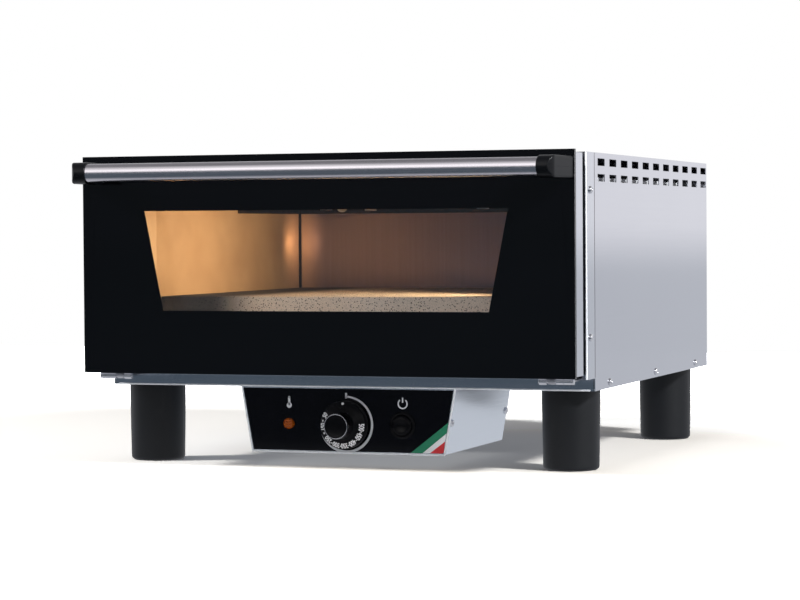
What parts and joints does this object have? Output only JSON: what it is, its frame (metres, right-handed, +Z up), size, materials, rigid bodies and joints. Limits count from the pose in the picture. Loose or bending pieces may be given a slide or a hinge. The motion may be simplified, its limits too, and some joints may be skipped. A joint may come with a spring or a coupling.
{
  "type": "countertop electric pizza oven",
  "caption": "Countertop electric pizza oven: steel casing on tall feet, drop-down black glass door with tube handle, stone baking chamber and control box under the base.",
  "frame": {"origin": "middle of the bounding box, at the height of the feet's undersides", "axes": "+Z up, the door and handle face -Y, +X to the right seen from the front"},
  "size_m": [0.5458, 0.6558, 0.3285],
  "materials": {
    "cover_steel": "satin brushed stainless sheet",
    "skirt_steel": "brushed stainless sheet",
    "plain_steel": "plain zinc-coated sheet",
    "liner_steel": "bright oven sheet, slightly heat toned",
    "wool": "matt mineral wool",
    "baking_stone": "rough, speckled",
    "heater_sheath": "dull, heat darkened",
    "white_ceramic": "matt",
    "clear_glass": "clear",
    "lamp_glow": "warm bulb",
    "copper": "plain copper",
    "panel_black": "smooth black",
    "knob_black": "fine satin",
    "amber_lens": "clear amber",
    "button_black": "smooth black",
    "bright_screw": "bright",
    "foot_black": "satin",
    "door_glass": "clear toughened glass",
    "black_print": "black enamel on the glass",
    "handle_steel": "brushed along its length",
    "bracket_black": "satin",
    "seal_rope": "woven glass rope",
    "wire_sheath": "woven sheath",
    "body_white": "plain"
  },
  "bodies": {
    "casing": {"base_pan": "skirt_steel", "support_rails": "plain_steel", "casing_cover": "cover_steel", "back_panel": "plain_steel", "front_frame": "cover_steel", "chamber_liner": "liner_steel", "insulation_top": "wool", "insulation_left": "wool", "insulation_right": "wool", "insulation_back": "wool", "insulation_floor": "wool", "stone_rails": "liner_steel", "refractory_stone": "baking_stone", "upper_heater": "heater_sheath", "lower_heater": "heater_sheath", "upper_heater_clips": "plain_steel", "lower_heater_supports": "plain_steel", "heater_bushings": "white_ceramic", "lamp_housing": "plain_steel", "lamp_bulb": "lamp_glow", "lamp_cover": "clear_glass", "thermostat_sensor": "copper", "sensor_clips": "plain_steel", "capillary_tube": "copper", "control_box": "cover_steel", "control_panel": "panel_black", "thermostat_body": "body_white", "pilot_body": "body_white", "pilot_lens": "amber_lens", "switch_body": "knob_black", "switch_bezel": "button_black", "terminal_block": "white_ceramic", "internal_wiring": "wire_sheath", "cable_gland": "bracket_black", "gland_nut": "bracket_black", "foot_front_left": "foot_black", "foot_front_right": "foot_black", "foot_rear_left": "foot_black", "foot_rear_right": "foot_black", "foot_bolts": "plain_steel", "cover_screws": "bright_screw", "back_screws": "bright_screw", "control_box_screws": "bright_screw", "door_seal": "seal_rope", "hinge_brackets": "plain_steel", "hinge_pins": "bright_screw", "hinge_springs": "plain_steel"},
    "door": {"door_glass": "door_glass", "glass_print": "black_print", "door_tray": "cover_steel", "inner_glass": "clear_glass", "glass_retainers": "plain_steel", "handle_tube": "handle_steel", "handle_bracket_left": "bracket_black", "handle_bracket_right": "bracket_black", "handle_screws": "bright_screw", "hinge_leaves": "plain_steel"},
    "knob": {"thermostat_knob": "knob_black", "thermostat_spindle": "plain_steel"},
    "button": {"power_button": "button_black"}
  },
  "joints": [
    {"name": "door_open", "type": "hinge", "parent": "casing", "child": "door", "pos_m": [0, -0.25415, 0.096], "axis": [1, 0, 0], "range_deg": [0, 90], "stiffness_Nm_per_rad": 1, "springref_deg": -34.38},
    {"name": "knob_turn", "type": "hinge", "parent": "casing", "child": "knob", "pos_m": [-0.001, -0.21815, 0.0445], "axis": [0, 1, 0], "range_deg": [0, 270]},
    {"name": "button_press", "type": "slide", "parent": "casing", "child": "button", "axis": [0, 1, 0], "range_m": [0, 0.003], "stiffness_N_per_m": 300, "springref_m": -0.001}
  ]
}
